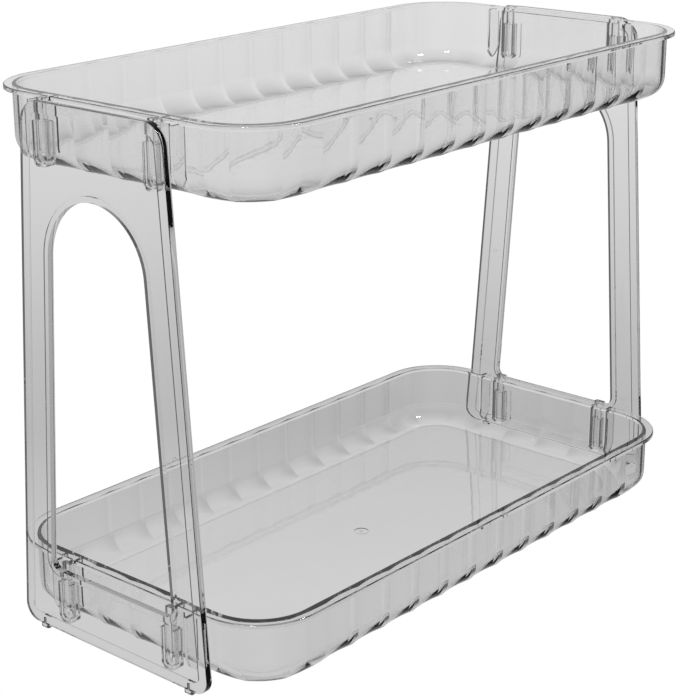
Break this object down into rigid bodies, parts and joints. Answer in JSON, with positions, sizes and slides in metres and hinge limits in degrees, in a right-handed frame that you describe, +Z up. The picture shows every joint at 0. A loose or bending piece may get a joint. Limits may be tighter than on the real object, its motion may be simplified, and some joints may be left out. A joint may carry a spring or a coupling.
{
  "type": "two-tier storage rack",
  "caption": "Clear plastic countertop rack: long rounded trays with fluted rims hung one above the other on hooks between A-shaped side panels with arched openings.",
  "frame": {"origin": "on the floor, under the centre of the rack", "axes": "+X along the long side of the trays, from the left panel to the right panel; +Y towards the rear long side; +Z up"},
  "size_m": [0.35, 0.1724, 0.254],
  "materials": {
    "panel_plastic": "clear smoke tint, polished",
    "tray_plastic": "clear smoke tint, polished",
    "foot_plastic": "clear, slightly frosted"
  },
  "bodies": {
    "frame": {"left_side_panel": "panel_plastic", "right_side_panel": "panel_plastic", "left_front_foot": "foot_plastic", "left_rear_foot": "foot_plastic", "right_front_foot": "foot_plastic", "right_rear_foot": "foot_plastic"},
    "upper_tray": {"upper_tray": "tray_plastic"},
    "lower_tray": {"lower_tray": "tray_plastic"}
  },
  "joints": [
    {"name": "upper_tray_lift", "type": "slide", "parent": "frame", "child": "upper_tray", "axis": [0, 0, 1], "range_m": [0, 0.035]},
    {"name": "lower_tray_lift", "type": "slide", "parent": "frame", "child": "lower_tray", "axis": [0, 0, 1], "range_m": [0, 0.025]}
  ]
}
